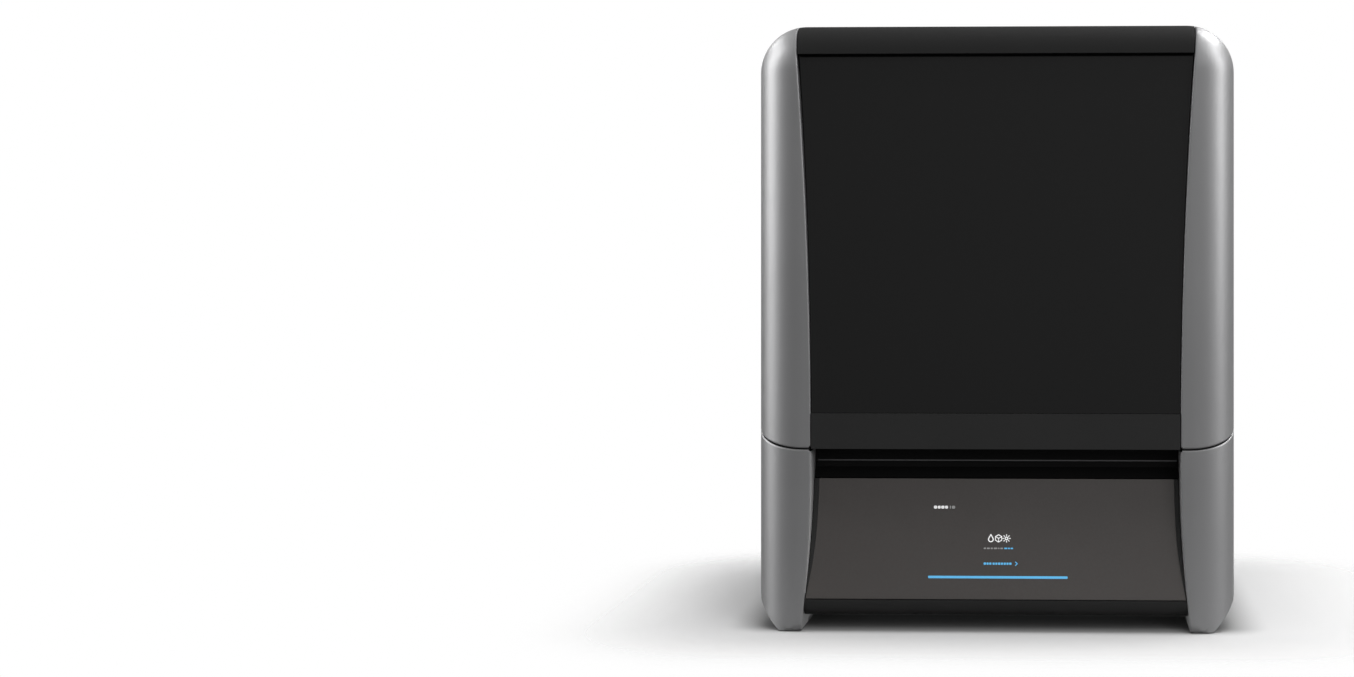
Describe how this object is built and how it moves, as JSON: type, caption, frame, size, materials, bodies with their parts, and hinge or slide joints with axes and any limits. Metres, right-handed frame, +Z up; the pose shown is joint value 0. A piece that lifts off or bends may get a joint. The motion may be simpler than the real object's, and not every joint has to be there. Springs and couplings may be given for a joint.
{
  "type": "desktop resin 3d printer",
  "caption": "Desktop resin printer with a tilting hood, a motor lift and build platform, a lift-out vat over a light engine, and a leaning touch panel in its base.",
  "frame": {"origin": "middle of the footprint, on the table", "axes": "+Z up, front of the machine faces -Y, +X to the right of someone facing it"},
  "size_m": [0.422, 0.39, 0.535],
  "materials": {
    "cheek_silver": "metallic silver-grey paint, satin",
    "cover_black": "black, satin",
    "window_dark": "near-opaque dark acrylic, polished",
    "panel_glass": "dark grey coated glass, glossy",
    "inner_black": "black, fine grain",
    "seal_rubber": "matte",
    "chassis_steel": "zinc plated sheet",
    "panel_steel": "black powder coat",
    "machined_aluminium": "anodised, satin",
    "ground_steel": "ground and polished",
    "nut_brass": "machined",
    "screen_glass": "dark masking screen, glossy",
    "vat_anodised": "dark grey anodised",
    "film_clear": "clear release film",
    "board_green": "circuit board with parts",
    "knob_black": "moulded black, fine grain",
    "lens_clear": "clear moulded lenses"
  },
  "bodies": {
    "base": {"base_pan": "chassis_steel", "lower_cheek_left": "cheek_silver", "lower_cheek_right": "cheek_silver", "front_fascia": "cover_black", "touch_glass": "panel_glass", "display_module": "chassis_steel", "display_board": "board_green", "recess_liner": "inner_black", "deck_plate": "machined_aluminium", "seal_frame": "inner_black", "hood_seal": "seal_rubber", "lcd_frame": "inner_black", "lcd_panel": "screen_glass", "light_box": "machined_aluminium", "lens_array": "lens_clear", "led_board": "board_green", "heat_sink": "machined_aluminium", "engine_fan_frame": "knob_black", "mainboard": "board_green", "power_supply": "chassis_steel", "rear_panel": "panel_steel", "power_inlet": "knob_black", "io_ports": "knob_black", "foot_pads": "seal_rubber", "z_column": "machined_aluminium", "linear_rails": "ground_steel", "screw_bearings": "panel_steel", "z_motor": "panel_steel", "limit_sensor": "knob_black", "tower_cover": "inner_black", "hinge_brackets": "chassis_steel", "rear_fan_frame": "knob_black", "carbon_filter": "inner_black", "case_screws": "ground_steel"},
    "hood": {"hood_cheek_left": "cheek_silver", "hood_cheek_right": "cheek_silver", "hood_top_cover": "cover_black", "hood_front_band": "cover_black", "hood_window": "window_dark", "window_frame": "inner_black", "hood_liner": "inner_black", "hinge_arms": "chassis_steel", "hinge_pins": "ground_steel"},
    "lift": {"carriage_plate": "machined_aluminium", "rail_blocks": "ground_steel", "screw_nut": "nut_brass", "lift_arm": "machined_aluminium"},
    "screw": {"ball_screw": "ground_steel"},
    "platform": {"platform_plate": "machined_aluminium", "platform_mount": "vat_anodised", "levelling_screws": "ground_steel"},
    "platform_lever": {"clamp_lever": "knob_black"},
    "vat": {"vat_frame": "vat_anodised", "vat_film": "film_clear", "film_ring": "ground_steel"},
    "left_knob": {"vat_knob_left": "knob_black"},
    "right_knob": {"vat_knob_right": "knob_black"},
    "engine_fan": {"engine_fan_rotor": "knob_black"},
    "rear_fan": {"rear_fan_rotor": "knob_black"},
    "rocker": {"power_rocker": "knob_black"}
  },
  "joints": [
    {"name": "hood_hinge", "type": "hinge", "parent": "base", "child": "hood", "pos_m": [0, 0.153, 0.493], "axis": [-1, 0, 0], "range_deg": [0, 65]},
    {"name": "lift_slide", "type": "slide", "parent": "base", "child": "lift", "axis": [0, 0, 1], "range_m": [-0.205, 0]},
    {"name": "screw_spin", "type": "hinge", "parent": "base", "child": "screw", "pos_m": [0, 0.12, 0.3], "axis": [0, 0, 1], "range_deg": [0, 7400]},
    {"name": "platform_slide", "type": "slide", "parent": "lift", "child": "platform", "axis": [0, -1, 0], "range_m": [0, 0.07]},
    {"name": "platform_lever_turn", "type": "hinge", "parent": "lift", "child": "platform_lever", "pos_m": [0, -0.04, 0.438], "axis": [0, 0, 1], "range_deg": [0, 90]},
    {"name": "vat_lift", "type": "slide", "parent": "base", "child": "vat", "axis": [0, 0, 1], "range_m": [0, 0.12]},
    {"name": "left_knob_turn", "type": "hinge", "parent": "base", "child": "left_knob", "pos_m": [-0.1424, -0.03, 0.16], "axis": [0, 0, -1], "range_deg": [0, 120]},
    {"name": "right_knob_turn", "type": "hinge", "parent": "base", "child": "right_knob", "pos_m": [0.1424, -0.03, 0.16], "axis": [0, 0, 1], "range_deg": [0, 120]},
    {"name": "engine_fan_spin", "type": "hinge", "parent": "base", "child": "engine_fan", "pos_m": [0, -0.03, 0.03], "axis": [0, 0, 1], "continuous": true},
    {"name": "rear_fan_spin", "type": "hinge", "parent": "base", "child": "rear_fan", "pos_m": [-0.1, 0.18, 0.07], "axis": [0, 1, 0], "continuous": true},
    {"name": "rocker_tilt", "type": "hinge", "parent": "base", "child": "rocker", "pos_m": [0.128, 0.187, 0.048], "axis": [-1, 0, 0], "range_deg": [0, 24]}
  ],
  "couplings": [
    {"joint": "screw_spin", "follows": "lift_slide", "rad_per_m": -628.32}
  ]
}
